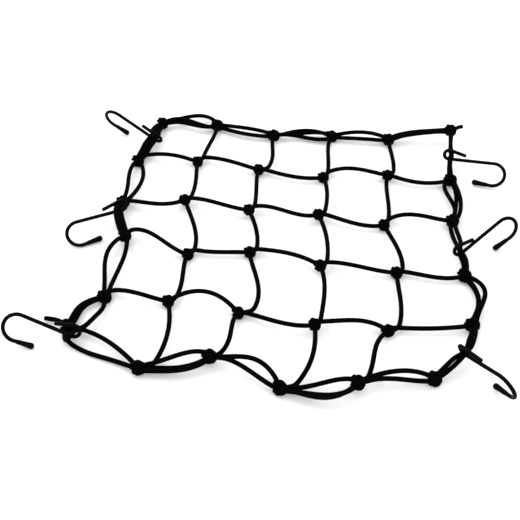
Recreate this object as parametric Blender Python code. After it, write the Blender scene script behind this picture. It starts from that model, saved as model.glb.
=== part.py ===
"""Elastic cargo net with six wire hooks, lying loose on a flat surface.

One continuous elastic cord is knotted into a grid of thirty-six knots, with doubled and trebled
cord round the border, and six bent wire hooks hang on the border cords by their closed eyes.
Lengths are in millimetres until the last step, +X is to the right, +Y to the back and +Z up.
"""

import math

import bmesh
import bpy
import numpy as np

for old in list(bpy.data.objects):
    bpy.data.objects.remove(old, do_unlink=True)

# ---------------------------------------------------------------- main sizes
ACROSS = 6                # knots in a row, and rows
KNOT_PITCH = 60.0         # even spacing of the knots, unstretched
CORD_RADIUS = 2.0         # 4 mm elastic cord
CORD_SIDES = 6
KNOT_MIDDLE = 4.5         # height of a knot's centre when it lies on the surface
KNOT_SIDES = 8
WIRE_RADIUS = 1.65        # coated hook wire
WIRE_SIDES = 8
TO_METRES = 0.001
GRID_TO_MIDDLE = (-3.8, -2.0, 0.0)  # from the even grid's middle to the middle of all that lies
NEARLY_FLAT = math.radians(5.0)  # faces this close to level with each other are one

# Each knot: how far it lies off the even grid to the right, to the back, and up.
# One line per row of the net from the back, knots from left to right.
KNOT_SHIFT = (
    ((8, -5, 2), (4, 2, 0), (3, -7, 0), (1, -1, 0), (-2, 0, 1), (-1.5, 11, 10)),
    ((-4, -4, 0), (-6, 2, 0), (-5, -3, 1), (-2, -5, 0), (-1, 5, 1), (-1, 7, 0)),
    ((-3.5, -7, 2.5), (-7, 3, 3), (-6, -3, 3), (-2, -1, 3), (-2, -4, 0), (0, 9, 1)),
    ((9, 8, 4), (8, -4, 0), (2, 6, 0), (5, -5, 3), (11, -2, 0), (9, 2, 0)),
    ((8, -2, 0), (2, 0, 0), (2, -5, 0), (6, -13, 4), (6, -8, 0), (14, 6, 1)),
    ((-14, 22, 0), (-7, -12, 1), (-13, 4, 4), (-15, -16, 0), (-16, -7, 5), (-17, 8, 0)),
)

# Each inner cord of a bay. Rows run from left to right, one line per row from the second: how far
# to the back of the left knot it leaves, its bow to the back at one and two thirds, and its rise.
ROW_BOW = (
    ((7, 7, 4.5, 4), (7, 5, 1.5, 4), (3, -3, -5, 1), (5.5, 7.5, 3, 5), (2, -6.5, -7.5, 1)),
    ((2, -3, -6.5, 2), (2.5, 1.5, -1.5, 3), (4, 4, -2.5, 2), (3, -2, -5, 1), (5, 8, 2, 5)),
    ((6, 9, 2, 5), (8, 2, 0.5, 1), (5, 5, 4.5, 3), (4, 3.5, 0, 2), (2.5, -1.5, -4.5, 1)),
    ((6.5, 5.5, 1.5, 4), (1, 6, 7, 12), (2, -1.5, -4, 1), (4, 4, 5.5, 4), (4, 0, -1.5, 1)),
)
# Columns run from the back to the front, one line per column from the second: the bow to the
# right at one and two thirds, the rise, and how far to the right of the front knot it lands.
COLUMN_BOW = (
    ((3, 3, 2, 4), (3, 5.5, 2, 4), (5, 8.5, 2, 4), (2, 5.5, 2, 4), (9, 12.5, 2, 9)),
    ((3.5, 8.5, 2, 7), (1, 3.5, 2, 4), (4.5, 7, 2, 5), (7, 14, 3, 10), (2.5, 7.5, 3, 5)),
    ((-1, 2, 2, 3), (4.5, 6, 2, 5), (5, 7, 2, 5), (5, 5.5, 2, 4), (9, 13, 3, 9)),
    ((2, 5, 2, 5), (0, 3, 2, 3), (4, 7, 2, 5), (4, 8, 2, 7), (-2, 3, 4, 5)),
)

LANDS_BESIDE = 4.0        # a column that lands further than this beside its knot turns into it,
TURN_IN = 0.35            # to this share of how far beside it landed

# Border cords: one line per bay, two or three cords each, with the same three numbers.
BACK_EDGE = (
    ((2, -3, 1), (3.4, -4, 5), (8, 13.2, 2)),
    ((-6, -6, 1), (0, 1, 3)),
    ((1, -4, 0), (2, 5, 1), (0, 2, 6)),
    ((-2, -2, 1), (4, 5, 4)),
    ((2, 1, 1), (1, 0, 3), (5, 3, 2)),
)
FRONT_EDGE = (
    ((6.2, 6, 2),),
    ((-7, -9.2, 0.5), (-3.8, -6.2, 0), (1.9, 6, 3)),
    ((3, -0.5, 4), (4.2, 10.7, 9)),
    ((-8.8, -12.2, 4), (-7, -11, -1), (-1.7, 2.7, 2)),
    ((1.2, -1.5, 3), (5.8, 6.8, 4)),
)
LEFT_EDGE = (
    ((-4.5, -2.7, 3), (-0.7, 0.8, 4), (3.2, 4.5, 3)),
    ((-3.5, -0.5, 2), (10, 10, 2)),
    ((-7, -6.6, 8), (-4.4, -3.8, 9), (-1.6, -0.9, 8)),
    ((-10, -6, 2), (5.8, 4, 2)),
    ((-9.2, -5.8, 1.5), (-6.6, -2.6, 0)),
)
RIGHT_EDGE = (
    ((-1, -2, 8), (-1, -2, 9)),
    ((-5, 1.8, 1), (4, 3.4, 1), (5.3, 7.4, 5)),
    ((-3.2, 0.5, 1), (0.8, 3, 5)),
    ((7.5, 6.2, 0.5), (8, 7, 0.5), (14.2, 8.6, 4)),
    ((6, 4.5, 6), (9.7, 11, 9)),
)
END_SPREAD = 3.0          # sideways step between border cords where they enter a knot
IN_KNOT = 0.045           # share of each stretch that is buried in the knot at its end
CORD_STEPS = 5            # straight pieces of a cord from knot to knot

# Cords that follow points of their own, from the centre of a knot: the two loose cut ends, and
# at the front left corner the outer front cord, and the inner cord that passes the hook's eye.
LOOSE_CORDS = (
    ((0, 5), ((4, 3, 15), (8, 6, 15.5), (12, 8, 15))),
    ((5, 0), ((-7, 5, 5), (-13, 7, 4), (-22, 8, 3))),
    (
        (5, 0),
        (
            (-1.8, -6.2, 3),
            (2.5, -11.5, 2.2),
            (7.5, -15.4, 2.1),
            (15, -19.2, 2.1),
            (24, -22.4, 2.1),
            (33, -24.5, 2.3),
            (45, -27.5, 3),
            (63, -33.5, 5),
        ),
    ),
    (
        (4, 0),
        (
            (1.9, -7.6, 5.5),
            (2.4, -14.3, 6),
            (-2.9, -26.8, 7),
            (-6.8, -37, 8.3),
            (-12, -40.2, 8.2),
            (-12.5, -45, 11.5),
            (-13, -49, 14),
            (-15.5, -52.3, 11),
            (-19, -51.3, 5.5),
            (-21.5, -46.5, 3.5),
            (-23, -41, 3),
        ),
    ),
)

# ---------------------------------------------------------------- hooks
# Where the centre of each eye is, the way its shank points (heading, pitch up), the roll about
# the shank, the side of the shank that the cut tail lies on, seen from above, and how far the
# tail closes in on the shank and its length.
HOOKS = {
    "hook_back_left": ((-141.5, 117.5, 9.5), (171.0, 32.0, -106.0), -1, (1.5, 19.0)),
    "hook_mid_left": ((-151.0, 9.0, 16.0), (208.0, -1.5, -29.0), -1, (14.0, 17.0)),
    "hook_front_left": ((-154.5, -137.0, 11.5), (174.5, 20.5, -51.0), -1, (16.0, 16.5)),
    "hook_back_right": ((146.5, 122.5, 15.0), (-7.0, 4.0, 32.5), 1, (15.5, 15.5)),
    "hook_mid_right": ((154.0, -2.5, 9.8), (35.5, 30.5, 71.5), 1, (20.5, 15.0)),
    "hook_front_right": ((154.5, -117.0, 12.5), (-58.0, 27.5, 109.5), 1, (7.5, 24.5)),
}
# Which border cords pass each eye side by side: hook, how many of the bay's cords from the
# outside, how far along from the eye's centre the first lies, and the cord's radius there.
EYE_CORDS = {
    ("left", 0): ("hook_back_left", 3, -0.3, 1.6),
    ("left", 2): ("hook_mid_left", 3, 0.3, 1.25),
    ("right", 0): ("hook_back_right", 2, 1.0, 1.2),
    ("right", 2): ("hook_mid_right", 2, -0.6, 1.3),
    ("right", 4): ("hook_front_right", 2, 1.0, 1.6),
}
EYE_RADIUS = 4.45         # centreline of the eye
SHANK = 43.0
BEND_RADIUS = 11.1        # centreline of the half-round bend
BEND_CLOSE = math.radians(6.0)  # how far past half round it turns
RETURN = 17.3
TIP_SWELL = 14.5          # length of the dipped, thicker tip
TIP_RADIUS = 2.6
CLEAR_OF_WIRE = 0.75      # space between the cords in an eye and the wire
THREAD_REACH = 8.0        # how far each way the eye bends the cords
PINCH_REACH = 4.4         # how far each way it squeezes them
THREAD_STEPS = (-4.4, -2.0, 0.0, 2.0, 4.4)  # places of a cord's points before and past an eye
CLEAR_OF_STEPS = 6.5      # no other point of the cord comes this close to the eye


def cubic(t, start, first, second, end):
    """The value at t of the cubic that takes these four values at 0, 1/3, 2/3 and 1."""
    third, two = 1 / 3, 2 / 3
    return (
        -4.5 * start * (t - third) * (t - two) * (t - 1)
        + 13.5 * first * t * (t - two) * (t - 1)
        - 13.5 * second * t * (t - third) * (t - 1)
        + 4.5 * end * t * (t - third) * (t - two)
    )


def unit(v):
    return v / np.linalg.norm(v)


def tube(path, radii, sides):
    """Points and faces of a closed round tube along the path, with flat ends."""
    count = len(path)
    along = [unit(path[min(i + 1, count - 1)] - path[max(i - 1, 0)]) for i in range(count)]
    side = unit(np.cross(along[0], (0.13, 0.21, 1.0)))
    points = []
    for centre, way, radius in zip(path, along, radii):
        side = unit(side - way * np.dot(side, way))
        other = np.cross(way, side)
        for k in range(sides):
            turn = 2 * math.pi * k / sides
            points.append(centre + radius * (math.cos(turn) * side + math.sin(turn) * other))
    faces = [tuple(reversed(range(sides)))]
    for i in range(count - 1):
        for k in range(sides):
            after = (k + 1) % sides
            faces.append(
                (i * sides + k, i * sides + after, (i + 1) * sides + after, (i + 1) * sides + k)
            )
    faces.append(tuple(range((count - 1) * sides, count * sides)))
    return points, faces


def solid(name, points, faces):
    mesh = bpy.data.meshes.new(name)
    placed = [tuple((p - np.array(GRID_TO_MIDDLE)) * TO_METRES) for p in points]
    mesh.from_pydata(placed, [], faces)
    mesh.update()
    made = bpy.data.objects.new(name, mesh)
    bpy.context.scene.collection.objects.link(made)
    return made


def finish_material(made, colour, roughness, metallic):
    material = bpy.data.materials.new(made.name)
    material.use_nodes = True
    shader = material.node_tree.nodes["Principled BSDF"]
    shader.inputs["Base Color"].default_value = (*colour, 1.0)
    shader.inputs["Roughness"].default_value = roughness
    shader.inputs["Metallic"].default_value = metallic
    made.data.materials.clear()
    made.data.materials.append(material)
    for polygon in made.data.polygons:
        polygon.use_smooth = True


# ---------------------------------------------------------------- knots
def knot_centre(row, column):
    right, back, up = KNOT_SHIFT[row][column]
    half = (ACROSS - 1) / 2
    return np.array(
        (
            (column - half) * KNOT_PITCH + right,
            (half - row) * KNOT_PITCH + back,
            KNOT_MIDDLE + up,
        ),
        float,
    )


# Half outline of the wrapped lump: place along its axis, radius. Two turns with a groove.
KNOT_PROFILE = ((-6.0, 2.6), (-3.2, 5.3), (0.0, 4.6), (3.0, 5.2), (6.0, 2.4))
KNOT_LEAN = 20.0          # the lump's axis leans this far left of straight back
BORDER_KNOT = 1.13        # a border knot holds more cords and is this much larger
FLAT_SHARE = 0.6          # half width of the flat underside, as a share of the radius
FLAT_ABOVE = 3.5          # only turns thicker than this reach the surface


def knot_size(row, column):
    at_border = {row, column} & {0, ACROSS - 1}
    return BORDER_KNOT if at_border else 1.0


def knot_lump(row, column):
    """A wrapped lump of cord, flat where it lies on the surface."""
    centre = knot_centre(row, column)
    lean = math.radians(KNOT_LEAN + 9.0 * ((row * 7 + column * 4) % 5 - 2))
    axis = np.array((-math.sin(lean), math.cos(lean), 0.0))
    side = np.array((math.cos(lean), math.sin(lean), 0.0))
    points = []
    size = knot_size(row, column)
    for place, radius in KNOT_PROFILE:
        place, radius = size * place, size * radius
        for k in range(KNOT_SIDES):
            turn = 2 * math.pi * (k + 0.5) / KNOT_SIDES
            out, up = radius * math.sin(turn), radius * math.cos(turn)
            if up < 0 and abs(out) < FLAT_SHARE * radius and radius > FLAT_ABOVE:
                up = -KNOT_MIDDLE
            points.append(centre + place * axis + out * side + np.array((0, 0, up)))
    faces = [tuple(range(KNOT_SIDES))]
    rings = len(KNOT_PROFILE)
    for i in range(rings - 1):
        for k in range(KNOT_SIDES):
            after = (k + 1) % KNOT_SIDES
            faces.append(
                (
                    i * KNOT_SIDES + k,
                    (i + 1) * KNOT_SIDES + k,
                    (i + 1) * KNOT_SIDES + after,
                    i * KNOT_SIDES + after,
                )
            )
    faces.append(tuple(reversed(range((rings - 1) * KNOT_SIDES, rings * KNOT_SIDES))))
    return points, faces


# ---------------------------------------------------------------- hook frames
def hook_axes(name):
    """Centre of the eye, the way the shank points, and the way from the shank to the tail."""
    centre, (heading, pitch, roll), tail_side, _ = HOOKS[name]
    heading, pitch, roll = (math.radians(a) for a in (heading, pitch, roll))
    along = np.array(
        (
            math.cos(heading) * math.cos(pitch),
            math.sin(heading) * math.cos(pitch),
            math.sin(pitch),
        )
    )
    left = np.array((-math.sin(heading), math.cos(heading), 0.0))
    over = np.cross(along, left)
    across = tail_side * (math.cos(roll) * left + math.sin(roll) * over)
    return np.array(centre, float), along, across


def thread_through(name, run, cords, first, radius):
    """The way the cords take through an eye, and the point where each cord passes it."""
    centre, along, across = hook_axes(name)
    closing = math.radians(HOOKS[name][3][0])
    square = unit(np.cross(along, across))
    if np.dot(square, run) < 0:
        square = -square
    lean = run - square * np.dot(run, square)
    points = []
    for i in range(cords):
        reach = first + i * (2 * radius + 0.1)
        tail = EYE_RADIUS * math.cos(closing)
        tail -= max(0.0, reach - EYE_RADIUS * math.sin(closing)) * math.tan(closing)
        points.append(centre + reach * along + 0.5 * (tail - EYE_RADIUS) * across)
    room = 0.5 * (tail + EYE_RADIUS) * math.cos(closing / 2)
    tilt = math.acos(min(1.0, (radius + WIRE_RADIUS + CLEAR_OF_WIRE) / room))
    tilt = min(tilt, math.acos(min(1.0, np.dot(square, unit(run)))))
    way = math.cos(tilt) * square + math.sin(tilt) * unit(lean)
    if points[0][0] > points[-1][0]:
        points.reverse()
    return way, points


# ---------------------------------------------------------------- cords
def bay_cord(start, end, bow, ends, thread=None):
    """Centreline and radii of one cord between two knots, through a hook eye if there is one."""
    straight = end - start
    length = np.linalg.norm(straight)
    if abs(straight[0]) < abs(straight[1]):
        to_side = np.array((1.0, 0.0, 0.0))
    else:
        to_side = np.array((0.0, 1.0, 0.0))
    steps = CORD_STEPS + 1 if thread else CORD_STEPS
    shares = [IN_KNOT + (1 - 2 * IN_KNOT) * i / steps for i in range(steps + 1)]
    if thread:
        way, point, pinched = thread
        at_eye = np.dot(point - start, straight) / length**2
        shares = [t for t in shares if abs(t - at_eye) * length > CLEAR_OF_STEPS]
        shares = sorted(shares + [at_eye + run / length for run in THREAD_STEPS])
    path, radii = [], []
    for t in shares:
        place = start + straight * t + to_side * cubic(t, ends[0], bow[0], bow[1], ends[1])
        place[2] += bow[2] * 4 * t * (1 - t)
        radius = CORD_RADIUS
        if thread:
            run = np.dot(start + straight * t - point, straight) / length
            pull = math.exp(-((run / THREAD_REACH) ** 4))
            place = (1 - pull) * place + pull * (point + run * way)
            radius -= (CORD_RADIUS - pinched) * math.exp(-((run / PINCH_REACH) ** 4))
        place[2] = max(place[2], CORD_RADIUS + 0.05)
        path.append(place)
        radii.append(radius)
    return path, radii


def edge_cords(edge, table, knots):
    """All cords of one border edge, given the knots along it."""
    made = []
    for bay, bows in enumerate(table):
        start, end = knots[bay], knots[bay + 1]
        count = len(bows)
        threads = [None] * count
        if (edge, bay) in EYE_CORDS:
            name, through, place, pinched = EYE_CORDS[(edge, bay)]
            way, points = thread_through(name, unit(end - start), through, place, pinched)
            threads[:through] = [(way, point, pinched) for point in points]
        first = sorted(range(count), key=lambda i: bows[i][0])
        last = sorted(range(count), key=lambda i: bows[i][1])
        for i, bow in enumerate(bows):
            ends = (
                END_SPREAD * (first.index(i) - (count - 1) / 2),
                END_SPREAD * (last.index(i) - (count - 1) / 2),
            )
            made.append(bay_cord(start, end, bow, ends, threads[i]))
    return made


cords = []
for row, bows in enumerate(ROW_BOW, start=1):
    for bay, (leave, *bow) in enumerate(bows):
        left, right = knot_centre(row, bay), knot_centre(row, bay + 1)
        cords.append(bay_cord(left, right, bow, (leave, 0)))
for column, bows in enumerate(COLUMN_BOW, start=1):
    for bay, (*bow, land) in enumerate(bows):
        back, front = knot_centre(bay, column), knot_centre(bay + 1, column)
        path, radii = bay_cord(back, front, bow, (0, land))
        if land > LANDS_BESIDE:
            path.append(front + np.array((TURN_IN * land, 0.0, 0.0)))
            radii.append(CORD_RADIUS)
        cords.append((path, radii))
last = ACROSS - 1
cords += edge_cords("back", BACK_EDGE, [knot_centre(0, k) for k in range(ACROSS)])
cords += edge_cords("front", FRONT_EDGE, [knot_centre(last, k) for k in range(ACROSS)])
cords += edge_cords("left", LEFT_EDGE, [knot_centre(k, 0) for k in range(ACROSS)])
cords += edge_cords("right", RIGHT_EDGE, [knot_centre(k, last) for k in range(ACROSS)])
for (row, column), points in LOOSE_CORDS:
    knot = knot_centre(row, column)
    path = [knot] + [
        np.array((knot[0] + right, knot[1] + back, height), float)
        for right, back, height in points
    ]
    cords.append((path, [CORD_RADIUS] * len(path)))

# ---------------------------------------------------------------- net
joined = bpy.data.collections.new("net pieces")
bpy.context.scene.collection.children.link(joined)
net = solid("net", *knot_lump(0, 0))
pieces = []
for row in range(ACROSS):
    for column in range(ACROSS):
        if (row, column) != (0, 0):
            pieces.append(solid(f"knot_{row}_{column}", *knot_lump(row, column)))
for number, (path, radii) in enumerate(cords):
    pieces.append(solid(f"cord_{number}", *tube(path, radii, CORD_SIDES)))
for piece in pieces:
    bpy.context.scene.collection.objects.unlink(piece)
    joined.objects.link(piece)
    piece.hide_render = True
    piece.display_type = "WIRE"
union = net.modifiers.new("join", "BOOLEAN")
union.operation = "UNION"
union.operand_type = "COLLECTION"
union.collection = joined
union.solver = "EXACT"
union.use_self = True
graph = bpy.context.evaluated_depsgraph_get()
fused = bpy.data.meshes.new_from_object(net.evaluated_get(graph))
net.modifiers.clear()
net.data = fused
for piece in pieces:
    bpy.data.objects.remove(piece, do_unlink=True)
bpy.data.collections.remove(joined)


def keep_outer_skin(mesh):
    """Fills the small spaces shut in between cords that press together."""
    shape = bmesh.new()
    shape.from_mesh(mesh)
    bmesh.ops.dissolve_limit(
        shape, angle_limit=NEARLY_FLAT, verts=shape.verts, edges=shape.edges
    )
    bmesh.ops.triangulate(shape, faces=shape.faces)
    left = set(shape.faces)
    skins = []
    while left:
        skin, edge_faces = set(), [left.pop()]
        while edge_faces:
            face = edge_faces.pop()
            skin.add(face)
            for edge in face.edges:
                for other in edge.link_faces:
                    if other in left:
                        left.remove(other)
                        edge_faces.append(other)
        skins.append(skin)
    skins.sort(key=len)
    inner = [face for skin in skins[:-1] for face in skin]
    bmesh.ops.delete(shape, geom=inner, context="FACES")
    shape.to_mesh(mesh)
    shape.free()


keep_outer_skin(net.data)
finish_material(net, (0.012, 0.012, 0.013), 0.7, 0.0)


# ---------------------------------------------------------------- hooks
def hook_path(closing, reach):
    """Flat centreline and radii of one hook: along the shank, and across towards the tail."""
    path, radii = [], []
    root = np.array((math.sin(closing), math.cos(closing))) * EYE_RADIUS
    for share in (1.0, 0.5, 0.0):
        run = share * reach
        path.append(root + run * np.array((math.cos(closing), -math.sin(closing))))
        radii.append(WIRE_RADIUS)
    start, stop, steps = math.pi / 2 - closing, 1.5 * math.pi, 11
    for i in range(1, steps + 1):
        turn = start + (stop - start) * i / steps
        path.append(EYE_RADIUS * np.array((math.cos(turn), math.sin(turn))))
        radii.append(WIRE_RADIUS)
    middle = np.array((SHANK, -EYE_RADIUS - BEND_RADIUS))
    start, stop, steps = math.pi / 2, -math.pi / 2 - BEND_CLOSE, 10
    for i in range(steps + 1):
        turn = start + (stop - start) * i / steps
        path.append(middle + BEND_RADIUS * np.array((math.cos(turn), math.sin(turn))))
        radii.append(WIRE_RADIUS)
    back = np.array((-math.cos(BEND_CLOSE), math.sin(BEND_CLOSE)))
    base = path[-1]
    for run, radius in (
        (RETURN - TIP_SWELL, WIRE_RADIUS),
        (RETURN - 0.55 * TIP_SWELL, 2.1),
        (RETURN - 4.0, 2.5),
        (RETURN - 2.0, TIP_RADIUS),
        (RETURN - 0.7, 2.0),
        (RETURN, 1.0),
    ):
        path.append(base + run * back)
        radii.append(radius)
    return path, radii


hooks = []
for name, (*_, (closing, reach)) in HOOKS.items():
    centre, along, across = hook_axes(name)
    flat_path, wire_radii = hook_path(math.radians(closing), reach)
    path = [centre + p[0] * along + p[1] * across for p in flat_path]
    hook = solid(name, *tube(path, wire_radii, WIRE_SIDES))
    finish_material(hook, (0.014, 0.014, 0.015), 0.35, 0.0)
    hooks.append(hook)
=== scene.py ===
import math

import bpy
import numpy as np
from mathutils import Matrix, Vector


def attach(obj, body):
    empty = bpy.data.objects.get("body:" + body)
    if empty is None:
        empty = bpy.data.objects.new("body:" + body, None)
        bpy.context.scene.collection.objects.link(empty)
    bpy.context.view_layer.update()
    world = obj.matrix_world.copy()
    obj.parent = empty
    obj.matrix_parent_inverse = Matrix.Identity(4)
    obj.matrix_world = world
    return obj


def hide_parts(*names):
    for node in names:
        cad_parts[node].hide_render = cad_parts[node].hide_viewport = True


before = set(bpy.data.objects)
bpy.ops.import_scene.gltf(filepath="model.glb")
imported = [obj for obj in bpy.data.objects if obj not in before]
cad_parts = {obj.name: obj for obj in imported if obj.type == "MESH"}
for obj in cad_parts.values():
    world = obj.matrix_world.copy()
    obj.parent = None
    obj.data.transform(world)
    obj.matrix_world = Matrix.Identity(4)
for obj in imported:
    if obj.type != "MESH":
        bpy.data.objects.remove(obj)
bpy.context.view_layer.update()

# ------------------------------------------------------------------ the lie of the knots
# The net is six rows of six knots, tied 60 mm apart in one long elastic cord. It has been
# dropped on a table, so every knot lies a little off the even grid and some are held up by
# the cords beside them. Lengths are in millimetres until a mesh is made.
MM = 0.001
KNOTS_ACROSS = 6
KNOT_PITCH = 60.0
KNOT_MIDDLE = 4.5                    # height of a resting knot's middle
GRID_TO_MIDDLE = (-3.8, -2.0, 0.0)   # from the even grid's middle to the middle of all that lies

# Each knot: how far it lies to the right, to the back and up. One line per row from the back.
KNOT_SHIFT = (
    ((8, -5, 2), (4, 2, 0), (3, -7, 0), (1, -1, 0), (-2, 0, 1), (-1.5, 11, 10)),
    ((-4, -4, 0), (-6, 2, 0), (-5, -3, 1), (-2, -5, 0), (-1, 5, 1), (-1, 7, 0)),
    ((-3.5, -7, 2.5), (-7, 3, 3), (-6, -3, 3), (-2, -1, 3), (-2, -4, 0), (0, 9, 1)),
    ((9, 8, 4), (8, -4, 0), (2, 6, 0), (5, -5, 3), (11, -2, 0), (9, 2, 0)),
    ((8, -2, 0), (2, 0, 0), (2, -5, 0), (6, -13, 4), (6, -8, 0), (14, 6, 1)),
    ((-14, 22, 0), (-7, -12, 1), (-13, 4, 4), (-15, -16, 0), (-16, -7, 5), (-17, 8, 0)),
)


def knot_middle(row, column):
    right, back, up = KNOT_SHIFT[row][column]
    half = (KNOTS_ACROSS - 1) / 2
    across, away = (column - half) * KNOT_PITCH + right, (half - row) * KNOT_PITCH + back
    return np.array((across, away, KNOT_MIDDLE + up), float)


# ------------------------------------------------------------------ eyes of the six hooks
# The border cords run through the closed eyes of the hooks, so the eyes' places settle how the
# cords run. Each hook: middle of its eye, heading and upward pitch of its shank, roll about the
# shank, the side of its cut tail, and how far the tail closes in and its length.
HOOKS = {
    "hook_back_left": ((-141.5, 117.5, 9.5), (171.0, 32.0, -106.0), -1, (1.5, 19.0)),
    "hook_mid_left": ((-151.0, 9.0, 16.0), (208.0, -1.5, -29.0), -1, (14.0, 17.0)),
    "hook_front_left": ((-154.5, -137.0, 11.5), (174.5, 20.5, -51.0), -1, (16.0, 16.5)),
    "hook_back_right": ((146.5, 122.5, 15.0), (-7.0, 4.0, 32.5), 1, (15.5, 15.5)),
    "hook_mid_right": ((154.0, -2.5, 9.8), (35.5, 30.5, 71.5), 1, (20.5, 15.0)),
    "hook_front_right": ((154.5, -117.0, 12.5), (-58.0, 27.5, 109.5), 1, (7.5, 24.5)),
}
EYE_RADIUS = 4.45                    # middle line of an eye
WIRE_RADIUS = 1.65


def unit(v):
    return v / np.linalg.norm(v)


def hook_lie(name):
    """Middle of the eye, the way the shank points, and the way from the shank to the tail."""
    middle, (heading, pitch, roll), tail_side, _ = HOOKS[name]
    heading, pitch, roll = math.radians(heading), math.radians(pitch), math.radians(roll)
    level = math.cos(pitch)
    along = (math.cos(heading) * level, math.sin(heading) * level, math.sin(pitch))
    left = np.array((-math.sin(heading), math.cos(heading), 0.0))
    over = np.cross(along, left)
    across = tail_side * (math.cos(roll) * left + math.sin(roll) * over)
    return np.array(middle, float), np.array(along), across


# ------------------------------------------------------------------ knotted net
# One black elastic cord, 4 mm thick, a rubber core in a braided polyester cover. The maker ties
# an overhand knot with both cords at each crossing and pulls it tight, and lays two or three
# cords side by side round the border. Where they share a hook's eye they are squeezed thinner.
CORD_RADIUS = 2.0
EYE_REACH = 8.0                      # how far each way an eye gathers the cords
SQUEEZE_REACH = 4.4                  # how far each way it squeezes them
CLEAR_OF_WIRE = 0.75                 # aimed at between a cord and the wire of its eye
SIDE_GAP = 0.1                       # between cords that lie side by side in an eye
OFF_TABLE = 0.05                     # under a cord that lies low
IN_KNOT = 0.045                      # share of a cord's way at each end that is inside the knot
DEEP_IN_KNOT = 0.3                   # share of that, from the knot's middle, where it starts
CORD_POINTS = 34
FIRST_SIDE = (0.13, 0.21, 1.0)       # no cord starts along this direction
RING_STEP = 2.0                      # spacing of the rings along a cord
CORD_SIDES = 12
SETTLING = 3                         # rounds of easing that turn corners into soft bends

# Rows from left to right, one line per row from the second: how far to the back of the left
# knot the cord leaves, its bow to the back at one and two thirds, and its rise.
ROW_CORDS = (
    ((7, 7, 4.5, 4), (7, 5, 1.5, 4), (3, -3, -5, 1), (5.5, 7.5, 3, 5), (2, -6.5, -7.5, 1)),
    ((2, -3, -6.5, 2), (2.5, 1.5, -1.5, 3), (4, 4, -2.5, 2), (3, -2, -5, 1), (5, 8, 2, 5)),
    ((6, 9, 2, 5), (8, 2, 0.5, 1), (5, 5, 4.5, 3), (4, 3.5, 0, 2), (2.5, -1.5, -4.5, 1)),
    ((6.5, 5.5, 1.5, 4), (1, 6, 7, 12), (2, -1.5, -4, 1), (4, 4, 5.5, 4), (4, 0, -1.5, 1)),
)
# Columns from the back to the front, one line per column from the second: bow to the right at
# one and two thirds, rise, and how far to the right of the front knot the cord lands.
COLUMN_CORDS = (
    ((3, 3, 2, 4), (3, 5.5, 2, 4), (5, 8.5, 2, 4), (2, 5.5, 2, 4), (9, 12.5, 2, 9)),
    ((3.5, 8.5, 2, 7), (1, 3.5, 2, 4), (4.5, 7, 2, 5), (7, 14, 3, 10), (2.5, 7.5, 3, 5)),
    ((-1, 2, 2, 3), (4.5, 6, 2, 5), (5, 7, 2, 5), (5, 5.5, 2, 4), (9, 13, 3, 9)),
    ((2, 5, 2, 5), (0, 3, 2, 3), (4, 7, 2, 5), (4, 8, 2, 7), (-2, 3, 4, 5)),
)
# Border cords, one line per bay with two or three cords: bow at one and two thirds, and rise.
BACK_BORDER = (
    ((2, -3, 1), (3.4, -4, 5), (8, 13.2, 2)),
    ((-6, -6, 1), (0, 1, 3)),
    ((1, -4, 0), (2, 5, 1), (0, 2, 6)),
    ((-2, -2, 1), (4, 5, 4)),
    ((2, 1, 1), (1, 0, 3), (5, 3, 2)),
)
FRONT_BORDER = (
    ((6.2, 6, 2),),
    ((-7, -9.2, 0.5), (-3.8, -6.2, 0), (1.9, 6, 3)),
    ((3, -0.5, 4), (4.2, 10.7, 9)),
    ((-8.8, -12.2, 4), (-7, -11, -1), (-1.7, 2.7, 2)),
    ((1.2, -1.5, 3), (5.8, 6.8, 4)),
)
LEFT_BORDER = (
    ((-4.5, -2.7, 3), (-0.7, 0.8, 4), (3.2, 4.5, 3)),
    ((-3.5, -0.5, 2), (10, 10, 2)),
    ((-7, -6.6, 8), (-4.4, -3.8, 9), (-1.6, -0.9, 8)),
    ((-10, -6, 2), (5.8, 4, 2)),
    ((-9.2, -5.8, 1.5), (-6.6, -2.6, 0)),
)
RIGHT_BORDER = (
    ((-1, -2, 8), (-1, -2, 9)),
    ((-5, 1.8, 1), (4, 3.4, 1), (5.3, 7.4, 5)),
    ((-3.2, 0.5, 1), (0.8, 3, 5)),
    ((7.5, 6.2, 0.5), (8, 7, 0.5), (14.2, 8.6, 4)),
    ((6, 4.5, 6), (9.7, 11, 9)),
)
BORDER_SPREAD = 3.0                  # sideways step between border cords at a knot
# The border cords that run side by side through each eye: border, bay, hook, how many from the
# outside, how far along from the eye's middle the first lies, and the cord's radius there.
THREADED = {
    ("left", 0): ("hook_back_left", 3, -0.3, 1.6),
    ("left", 2): ("hook_mid_left", 3, 0.3, 1.25),
    ("right", 0): ("hook_back_right", 2, 1.0, 1.2),
    ("right", 2): ("hook_mid_right", 2, -0.6, 1.3),
    ("right", 4): ("hook_front_right", 2, 1.0, 1.6),
}


def bow_at(t, start, first, second, end):
    """Sideways place at t of the soft curve with these places at 0, 1/3, 2/3 and 1."""
    third, two_thirds = 1 / 3, 2 / 3
    return (
        -4.5 * start * (t - third) * (t - two_thirds) * (t - 1)
        + 13.5 * first * t * (t - two_thirds) * (t - 1)
        - 13.5 * second * t * (t - third) * (t - 1)
        + 4.5 * end * t * (t - third) * (t - two_thirds)
    )


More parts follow.
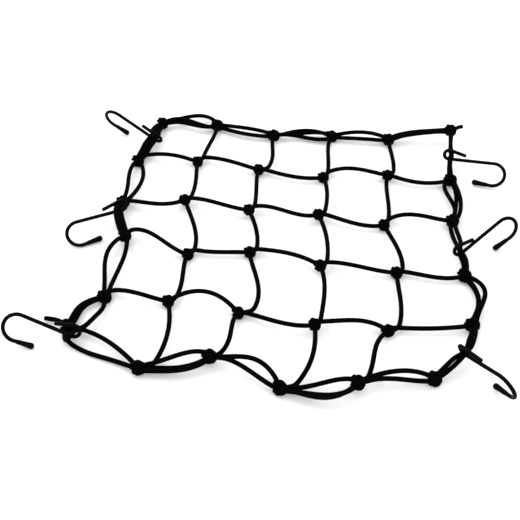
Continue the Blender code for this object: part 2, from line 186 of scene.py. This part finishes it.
def way_through_eye(name, run, cords, first, radius):
    """The way the cords take through an eye, and the point where each of them passes it."""
    middle, along, across = hook_lie(name)
    closing = math.radians(HOOKS[name][3][0])
    square = unit(np.cross(along, across))
    if np.dot(square, run) < 0:
        square = -square
    lean = run - square * np.dot(run, square)
    points = []
    for i in range(cords):
        reach = first + i * (2 * radius + SIDE_GAP)
        tail = EYE_RADIUS * math.cos(closing)
        tail -= max(0.0, reach - EYE_RADIUS * math.sin(closing)) * math.tan(closing)
        points.append(middle + reach * along + 0.5 * (tail - EYE_RADIUS) * across)
    room = 0.5 * (tail + EYE_RADIUS) * math.cos(closing / 2)
    tilt = math.acos(min(1.0, (radius + WIRE_RADIUS + CLEAR_OF_WIRE) / room))
    tilt = min(tilt, math.acos(min(1.0, np.dot(square, unit(run)))))
    way = math.cos(tilt) * square + math.sin(tilt) * unit(lean)
    if points[0][0] > points[-1][0]:
        points.reverse()
    return way, points


def cord_between(start, end, bow, ends, eye=None):
    """Middle line and thickness of one cord, from inside one knot to inside the next."""
    straight = end - start
    length = np.linalg.norm(straight)
    leans_back = abs(straight[0]) < abs(straight[1])
    sideways = np.array((1.0, 0.0, 0.0) if leans_back else (0.0, 1.0, 0.0))
    line, radii = [], []
    for t in np.linspace(IN_KNOT, 1 - IN_KNOT, CORD_POINTS):
        place = start + straight * t + sideways * bow_at(t, ends[0], bow[0], bow[1], ends[1])
        place[2] += bow[2] * 4 * t * (1 - t)
        radius = CORD_RADIUS
        if eye:
            way, point, squeezed = eye
            run = np.dot(start + straight * t - point, straight) / length
            pull = math.exp(-((run / EYE_REACH) ** 4))
            place = (1 - pull) * place + pull * (point + run * way)
            radius -= (CORD_RADIUS - squeezed) * math.exp(-((run / SQUEEZE_REACH) ** 4))
        place[2] = max(place[2], CORD_RADIUS + OFF_TABLE)
        line.append(place)
        radii.append(radius)
    into_start = start + DEEP_IN_KNOT * (line[0] - start)
    into_end = end + DEEP_IN_KNOT * (line[-1] - end)
    return [into_start, *line, into_end], [CORD_RADIUS, *radii, CORD_RADIUS]


def border_cords(border, table, knots):
    made = []
    for bay, bows in enumerate(table):
        start, end, count = knots[bay], knots[bay + 1], len(bows)
        eyes = [None] * count
        if (border, bay) in THREADED:
            name, through, first_place, squeezed = THREADED[(border, bay)]
            run = unit(end - start)
            way, points = way_through_eye(name, run, through, first_place, squeezed)
            eyes[:through] = [(way, point, squeezed) for point in points]
        first = sorted(range(count), key=lambda i: bows[i][0])
        last = sorted(range(count), key=lambda i: bows[i][1])
        for i, bow in enumerate(bows):
            middle_place = (count - 1) / 2
            ends = (
                BORDER_SPREAD * (first.index(i) - middle_place),
                BORDER_SPREAD * (last.index(i) - middle_place),
            )
            made.append(cord_between(start, end, bow, ends, eyes[i]))
    return made


def settled(line, radii):
    """The same cord with rings at even steps and its corners eased into soft bends."""
    line, radii = np.array(line), np.array(radii)
    for easing in range(SETTLING + 1):
        run = np.concatenate([[0], np.cumsum(np.linalg.norm(np.diff(line, axis=0), axis=1))])
        steps = max(4, round(run[-1] / RING_STEP))
        even = np.linspace(0, run[-1], steps + 1)
        line = np.stack([np.interp(even, run, line[:, k]) for k in range(3)], axis=1)
        radii = np.interp(even, run, radii)
        if easing < SETTLING:
            line[1:-1] = (line[:-2] + 2 * line[1:-1] + line[2:]) / 4
    return line, radii


class CordMesh:
    """Points, faces and braid coordinates of everything tied from the cord."""

    def __init__(self):
        self.points, self.faces, self.braid = [], [], []

    def lay(self, line, radii, sides, closed=False):
        count = len(line)
        first = len(self.points)
        if closed:
            along = [unit(line[(i + 1) % count] - line[i - 1]) for i in range(count)]
        else:
            along = [
                unit(line[min(i + 1, count - 1)] - line[max(i - 1, 0)]) for i in range(count)
            ]
        side = unit(np.cross(along[0], FIRST_SIDE))
        run = 0.0
        rings = []
        for i, (middle, way, radius) in enumerate(zip(line, along, radii)):
            side = unit(side - way * np.dot(side, way))
            other = np.cross(way, side)
            for k in range(sides):
                turn = 2 * math.pi * k / sides
                out = math.cos(turn) * side + math.sin(turn) * other
                point = middle + radius * out
                point[2] = max(point[2], 0.0)   # flat where it presses on the table
                self.points.append(point)
            if i:
                run += np.linalg.norm(line[i] - line[i - 1])
            rings.append(run)
        spans = count if closed else count - 1
        rings.append(run + np.linalg.norm(line[0] - line[-1]))
        for i in range(spans):
            here, there = first + i * sides, first + ((i + 1) % count) * sides
            for k in range(sides):
                after = (k + 1) % sides
                self.faces.append((here + k, here + after, there + after, there + k))
                low, high = k / sides, (k + 1) / sides
                self.braid += [
                    (low, rings[i]), (high, rings[i]), (high, rings[i + 1]), (low, rings[i + 1])
                ]
        if not closed:
            last = first + (count - 1) * sides
            for ring in (range(first + sides - 1, first - 1, -1), range(last, last + sides)):
                self.faces.append(tuple(ring))
                self.braid += [(0.0, 0.0)] * sides

    def made(self, name):
        mesh = bpy.data.meshes.new(name)
        placed = [tuple((p - np.array(GRID_TO_MIDDLE)) * MM) for p in self.points]
        mesh.from_pydata(placed, [], self.faces)
        laid = mesh.uv_layers.new(name="braid")
        for corner, place in zip(laid.data, self.braid):
            corner.uv = place
        for face in mesh.polygons:
            face.use_smooth = len(face.vertices) == 4
        mesh.validate()
        mesh.update()
        made = bpy.data.objects.new(name, mesh)
        bpy.context.scene.collection.objects.link(made)
        return made


net_cord = CordMesh()
routes = []
for row, bays in enumerate(ROW_CORDS, start=1):
    for bay, (leave, *bow) in enumerate(bays):
        left, right = knot_middle(row, bay), knot_middle(row, bay + 1)
        routes.append(cord_between(left, right, bow, (leave, 0)))
for column, bays in enumerate(COLUMN_CORDS, start=1):
    for bay, (*bow, land) in enumerate(bays):
        back, front = knot_middle(bay, column), knot_middle(bay + 1, column)
        routes.append(cord_between(back, front, bow, (0, land)))
last = KNOTS_ACROSS - 1
along_row = range(KNOTS_ACROSS)
routes += border_cords("back", BACK_BORDER, [knot_middle(0, k) for k in along_row])
routes += border_cords("front", FRONT_BORDER, [knot_middle(last, k) for k in along_row])
routes += border_cords("left", LEFT_BORDER, [knot_middle(k, 0) for k in along_row])
routes += border_cords("right", RIGHT_BORDER, [knot_middle(k, last) for k in along_row])
for line, radii in routes:
    net_cord.lay(*settled(line, radii), CORD_SIDES)

# The cord's two heat-sealed ends, the outer front cord of the front left bay, and the inner
# cord that loops through the corner hook's eye. From a knot's middle: right, back, and height.
CUT_ENDS = (
    ((0, 5), ((4, 3, 15), (8, 6, 15.5), (12, 8, 15))),
    ((5, 0), ((-7, 5, 5), (-13, 7, 4), (-22, 8, 3))),
)
FRONT_SWEEP = (
    (-1.8, -6.2, 3),
    (2.5, -11.5, 2.2),
    (7.5, -15.4, 2.1),
    (15, -19.2, 2.1),
    (24, -22.4, 2.1),
    (33, -24.5, 2.3),
    (45, -27.5, 3),
    (63, -33.5, 5),
)
CORNER_LOOP = (
    (1.9, -7.6, 5.5),
    (2.4, -14.3, 6),
    (-2.9, -26.8, 7),
    (-6.8, -37, 8.3),
    (-12, -40.2, 8.2),
    (-12.5, -45, 11.5),
    (-13, -49, 14),
    (-15.5, -52.3, 11),
    (-19, -51.3, 5.5),
    (-21.5, -46.5, 3.5),
    (-23, -41, 3),
)
SEALED_END = ((0.0, 2.0), (0.35, 2.15), (0.9, 2.1), (1.4, 1.7), (1.7, 0.9))  # run, radius


def from_knot(row, column, places):
    knot = knot_middle(row, column)
    return [knot] + [
        np.array((knot[0] + right, knot[1] + back, height), float)
        for right, back, height in places
    ]


for (row, column), places in CUT_ENDS:
    line, radii = settled(from_knot(row, column, places), [CORD_RADIUS] * (len(places) + 1))
    way = unit(line[-1] - line[-2])
    tip = [line[-1] + (run - SEALED_END[-1][0]) * way for run, _ in SEALED_END]
    line = list(line[:-1]) + tip
    net_cord.lay(line, list(radii[:-1]) + [radius for _, radius in SEALED_END], CORD_SIDES)
for line in (from_knot(5, 0, FRONT_SWEEP), from_knot(4, 0, CORNER_LOOP)):
    net_cord.lay(*settled(line, [CORD_RADIUS] * len(line)), CORD_SIDES)

# Each knot: both strands of the pair wind through one another three times and bulge out in
# three lobes, one to the upper left and one below, the third where the cords leave together.
KNOT_RING = 2.55                     # from the knot's middle to the middle of its turns
KNOT_TURN = 1.5                      # half width of a turn, across
KNOT_DEPTH = 3.0                     # half height of a turn
KNOT_STRAND = 1.42                   # the cord's radius, stretched thin by the pull
STRANDS_APART = math.radians(38.0)   # each strand to its own side of the turn
KNOT_STEPS = 40
KNOT_STRAND_SIDES = 8
BORDER_KNOT = 1.13                   # a border knot holds more cords and is this much larger
LOBE_HEADING = 135.0                 # the first lobe points to the upper left, in degrees
LOBE_TURN = 11.0                     # knots differ in heading by up to twice this each way
LOBE_SWELL = 1.3                     # how much further the first lobe stands out


def knot_size(row, column):
    at_border = {row, column} & {0, KNOTS_ACROSS - 1}
    return BORDER_KNOT if at_border else 1.0


def knot_strand(row, column, side):
    heading = LOBE_HEADING + LOBE_TURN * ((row * 7 + column * 4) % 5 - 2)
    line = []
    for i in range(KNOT_STEPS):
        t = 2 * math.pi * i / KNOT_STEPS
        turn = 3 * t + side * STRANDS_APART
        swell = LOBE_SWELL * max(0.0, math.cos(2 * t)) ** 2
        out = KNOT_RING + KNOT_TURN * math.cos(turn) + swell
        angle = 2 * t + math.radians(heading)
        line.append((out * math.cos(angle), out * math.sin(angle), KNOT_DEPTH * math.sin(turn)))
    return knot_size(row, column) * np.array(line) + knot_middle(row, column)


for row in range(KNOTS_ACROSS):
    for column in range(KNOTS_ACROSS):
        for side in (-1, 1):
            strand = knot_strand(row, column, side)
            radii = [KNOT_STRAND * knot_size(row, column)] * KNOT_STEPS
            net_cord.lay(strand, radii, KNOT_STRAND_SIDES, closed=True)

net = net_cord.made("knotted_net")

braided_cord = bpy.data.materials.new("black braided elastic cord")
braided_cord.use_nodes = True
nodes, links = braided_cord.node_tree.nodes, braided_cord.node_tree.links
cover = nodes["Principled BSDF"]
cover.inputs["Specular IOR Level"].default_value = 0.012
cover.inputs["Sheen Weight"].default_value = 0.001
cover.inputs["Sheen Roughness"].default_value = 0.5
place = nodes.new("ShaderNodeUVMap")
place.uv_map = "braid"
split = nodes.new("ShaderNodeSeparateXYZ")
links.new(place.outputs["UV"], split.inputs["Vector"])
STRANDS_ROUND = 8.0                  # braid strands of each hand, round the cord
BRAID_TURN = 0.42                    # turns of the pattern for each mm along


def strands(hand):
    """Ridges of the strands that wind to one hand, from -1 to 1."""
    along = nodes.new("ShaderNodeMath")
    along.operation = "MULTIPLY"
    along.inputs[1].default_value = hand * BRAID_TURN * 2 * math.pi
    links.new(split.outputs["Y"], along.inputs[0])
    round_cord = nodes.new("ShaderNodeMath")
    round_cord.operation = "MULTIPLY_ADD"
    round_cord.inputs[1].default_value = STRANDS_ROUND * 2 * math.pi
    links.new(split.outputs["X"], round_cord.inputs[0])
    links.new(along.outputs[0], round_cord.inputs[2])
    wave = nodes.new("ShaderNodeMath")
    wave.operation = "SINE"
    links.new(round_cord.outputs[0], wave.inputs[0])
    return wave.outputs[0]


weave = nodes.new("ShaderNodeMath")
weave.operation = "MULTIPLY"
links.new(strands(1), weave.inputs[0])
links.new(strands(-1), weave.inputs[1])
lint = nodes.new("ShaderNodeTexNoise")
lint.inputs["Scale"].default_value = 900.0
lint.inputs["Detail"].default_value = 3.0
where = nodes.new("ShaderNodeTexCoord")
links.new(where.outputs["Object"], lint.inputs["Vector"])
relief = nodes.new("ShaderNodeMath")
relief.operation = "MULTIPLY_ADD"
relief.inputs[1].default_value = 0.6
links.new(lint.outputs["Fac"], relief.inputs[0])
links.new(weave.outputs[0], relief.inputs[2])
bump = nodes.new("ShaderNodeBump")
bump.inputs["Strength"].default_value = 0.6
bump.inputs["Distance"].default_value = 0.00018
links.new(relief.outputs[0], bump.inputs["Height"])
links.new(bump.outputs["Normal"], cover.inputs["Normal"])
# The cord's colour follows the braid's height: painted shade in the valleys between strands and
# a painted highlight on the raised strands, with random lint tone mixed in. The same height also
# sets the roughness.
tone = nodes.new("ShaderNodeValToRGB")
tone.color_ramp.elements[0].position = 0.15
tone.color_ramp.elements[0].color = (0.0003, 0.0003, 0.0003, 1)
tone.color_ramp.elements[1].position = 0.95
tone.color_ramp.elements[1].color = (0.0015, 0.0015, 0.0017, 1)
ridge_light_and_gloss = nodes.new("ShaderNodeMath")
ridge_light_and_gloss.operation = "MULTIPLY_ADD"
ridge_light_and_gloss.inputs[1].default_value = 0.45
ridge_light_and_gloss.inputs[2].default_value = 0.45
links.new(relief.outputs[0], ridge_light_and_gloss.inputs[0])
links.new(ridge_light_and_gloss.outputs[0], tone.inputs["Fac"])
links.new(tone.outputs["Color"], cover.inputs["Base Color"])
dull = nodes.new("ShaderNodeMapRange")
dull.inputs["To Min"].default_value = 0.88
dull.inputs["To Max"].default_value = 0.68
links.new(ridge_light_and_gloss.outputs[0], dull.inputs["Value"])
links.new(dull.outputs["Result"], cover.inputs["Roughness"])
net.data.materials.append(braided_cord)

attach(net, "root")
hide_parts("net")

# ------------------------------------------------------------------ bent wire hooks
# Six hooks of 2.5 mm steel wire, 3.3 mm over its black plastic coating, bent cold: a closed eye
# with its cut tail folded back to the shank, a half-round mouth for a rail, and a tip dipped in
# soft plastic. They hang on the border cords and lie as they fell.
WIRE_SIDES = 16
SHANK = 43.0                         # from the eye's middle to the mouth
BEND_RADIUS = 11.1                   # middle line of the half-round mouth
BEND_CLOSE = math.radians(6.0)       # the mouth turns this much past half round
RETURN = 17.3                        # from the mouth's end to the end of the tip
EYE_STEPS = 30
MOUTH_STEPS = 36
# The dipped tip: how far back from its very end, and the radius there.
DIPPED_TIP = (
    (15.2, 1.65), (14.5, 1.7), (13.9, 1.92), (12.6, 2.0), (8.5, 2.15), (5.5, 2.38),
    (3.6, 2.56), (2.2, 2.58), (1.2, 2.3), (0.5, 1.68), (0.12, 0.82), (0.0, 0.28),
)
# The sheared end of the tail: how far from its very end, and the radius there.
SHEARED_TAIL = ((0.0, 1.15), (0.12, 1.43), (0.45, 1.65))


def arc(middle, radius, start, stop, steps):
    turns = [start + (stop - start) * i / steps for i in range(steps + 1)]
    return [middle + radius * np.array((math.cos(a), math.sin(a))) for a in turns]


def bent_wire(closing, reach):
    """Flat middle line and radii of a hook: along the shank, and across towards the tail."""
    tail_root = np.array((math.sin(closing), math.cos(closing))) * EYE_RADIUS
    tail_way = np.array((math.cos(closing), -math.sin(closing)))
    line, radii = [], []
    for back, radius in SHEARED_TAIL:
        line.append(tail_root + (reach - back) * tail_way)
        radii.append(radius)
    for share in (0.75, 0.5, 0.25):
        line.append(tail_root + share * reach * tail_way)
        radii.append(WIRE_RADIUS)
    eye = arc(np.zeros(2), EYE_RADIUS, math.pi / 2 - closing, 1.5 * math.pi, EYE_STEPS)
    shank = [np.array((SHANK * share, -EYE_RADIUS)) for share in (0.2, 0.4, 0.6, 0.8)]
    mouth_middle = np.array((SHANK, -EYE_RADIUS - BEND_RADIUS))
    stop = -math.pi / 2 - BEND_CLOSE
    mouth = arc(mouth_middle, BEND_RADIUS, math.pi / 2, stop, MOUTH_STEPS)
    for part in (eye, shank, mouth):
        line += part
        radii += [WIRE_RADIUS] * len(part)
    back = np.array((-math.cos(BEND_CLOSE), math.sin(BEND_CLOSE)))
    base = mouth[-1]
    for from_end, radius in DIPPED_TIP:
        line.append(base + (RETURN - from_end) * back)
        radii.append(radius)
    return line, radii


coated_wire = bpy.data.materials.new("black coated steel wire")
coated_wire.use_nodes = True
nodes, links = coated_wire.node_tree.nodes, coated_wire.node_tree.links
coating = nodes["Principled BSDF"]
coating.inputs["Specular IOR Level"].default_value = 0.02
coating.inputs["Coat Weight"].default_value = 0.015
coating.inputs["Coat Roughness"].default_value = 0.25
where = nodes.new("ShaderNodeTexCoord")
dips = nodes.new("ShaderNodeTexNoise")
dips.inputs["Scale"].default_value = 160.0
dips.inputs["Detail"].default_value = 4.0
links.new(where.outputs["Object"], dips.inputs["Vector"])
tone = nodes.new("ShaderNodeValToRGB")
tone.color_ramp.elements[0].position = 0.35
tone.color_ramp.elements[0].color = (0.0005, 0.0005, 0.0006, 1)
tone.color_ramp.elements[1].position = 0.8
tone.color_ramp.elements[1].color = (0.0013, 0.0013, 0.0015, 1)
links.new(dips.outputs["Fac"], tone.inputs["Fac"])
links.new(tone.outputs["Color"], coating.inputs["Base Color"])
rubbed = nodes.new("ShaderNodeMapRange")
rubbed.inputs["From Min"].default_value = 0.3
rubbed.inputs["From Max"].default_value = 0.75
rubbed.inputs["To Min"].default_value = 0.34
rubbed.inputs["To Max"].default_value = 0.52
links.new(dips.outputs["Fac"], rubbed.inputs["Value"])
links.new(rubbed.outputs["Result"], coating.inputs["Roughness"])
pebble = nodes.new("ShaderNodeTexNoise")
pebble.inputs["Scale"].default_value = 1400.0
pebble.inputs["Detail"].default_value = 2.0
links.new(where.outputs["Object"], pebble.inputs["Vector"])
bump = nodes.new("ShaderNodeBump")
bump.inputs["Strength"].default_value = 0.35
bump.inputs["Distance"].default_value = 0.00006
links.new(pebble.outputs["Fac"], bump.inputs["Height"])
links.new(bump.outputs["Normal"], coating.inputs["Normal"])

for name, (*_, (closing, reach)) in HOOKS.items():
    middle, along, across = hook_lie(name)
    flat_line, wire_radii = bent_wire(math.radians(closing), reach)
    hook_wire = CordMesh()
    bent = [middle + p[0] * along + p[1] * across for p in flat_line]
    hook_wire.lay(bent, wire_radii, WIRE_SIDES)
    hook = hook_wire.made(name + "_wire")
    hook.data.materials.append(coated_wire)
    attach(hook, "root")
    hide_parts(name)

# ------------------------------------------------------------------ table top
# A plain white matt table, large enough to fill every view. It isn't part of the net.
TABLE_SIZE = 6.0                     # metres
TABLE_HEIGHT = -0.0002               # a hair lower, so that it meets no flat underside
half = TABLE_SIZE / 2
top = bpy.data.meshes.new("table_top")
corners = [(-half, -half), (half, -half), (half, half), (-half, half)]
top.from_pydata([(x, y, TABLE_HEIGHT) for x, y in corners], [], [(0, 1, 2, 3)])
table_top = bpy.data.objects.new("table_top", top)
bpy.context.scene.collection.objects.link(table_top)
matt_white = bpy.data.materials.new("matt white")
matt_white.use_nodes = True
paint = matt_white.node_tree.nodes["Principled BSDF"]
paint.inputs["Base Color"].default_value = (0.86, 0.86, 0.86, 1)
paint.inputs["Roughness"].default_value = 0.9
paint.inputs["Specular IOR Level"].default_value = 0.1
top.materials.append(matt_white)

# ------------------------------------------------------------------ light
# A bright white tent round the table, and one large soft lamp behind it to the left, whose
# shadows fall faintly to the right and to the front.
scene = bpy.context.scene
scene.view_settings.view_transform = "Standard"
tent = bpy.data.worlds.new("white tent")
scene.world = tent
tent.use_nodes = True
tent.node_tree.nodes["Background"].inputs["Color"].default_value = (1, 1, 1, 1)
tent.node_tree.nodes["Background"].inputs["Strength"].default_value = 1.6
LAMP_FROM = Vector((-0.9, 0.55, 1.5))
lamp_data = bpy.data.lights.new("soft lamp", "AREA")
lamp_data.shape = "DISK"
lamp_data.size = 0.5
lamp_data.energy = 5.5
lamp = bpy.data.objects.new("soft lamp", lamp_data)
scene.collection.objects.link(lamp)
lamp.location = LAMP_FROM
lamp.rotation_euler = (-LAMP_FROM).to_track_quat("-Z", "Y").to_euler()

# ------------------------------------------------------------------ camera
# It looks down at the net from the front, a little from the right of straight ahead.
CAMERA_AIM = Vector((-0.0148, -0.0258, 0.0))
CAMERA_AZIMUTH, CAMERA_ELEVATION = math.radians(7.5), math.radians(46.0)
CAMERA_DISTANCE = 0.79
CAMERA_LENS = 62.0
level = math.cos(CAMERA_ELEVATION)
away = Vector(
    (
        math.sin(CAMERA_AZIMUTH) * level,
        -math.cos(CAMERA_AZIMUTH) * level,
        math.sin(CAMERA_ELEVATION),
    )
)
camera_data = bpy.data.cameras.new("camera")
camera_data.lens = CAMERA_LENS
camera_data.clip_start = 0.02
camera = bpy.data.objects.new("camera", camera_data)
scene.collection.objects.link(camera)
camera.location = CAMERA_AIM + away * CAMERA_DISTANCE
camera.rotation_euler = (-away).to_track_quat("-Z", "Y").to_euler()
scene.camera = camera
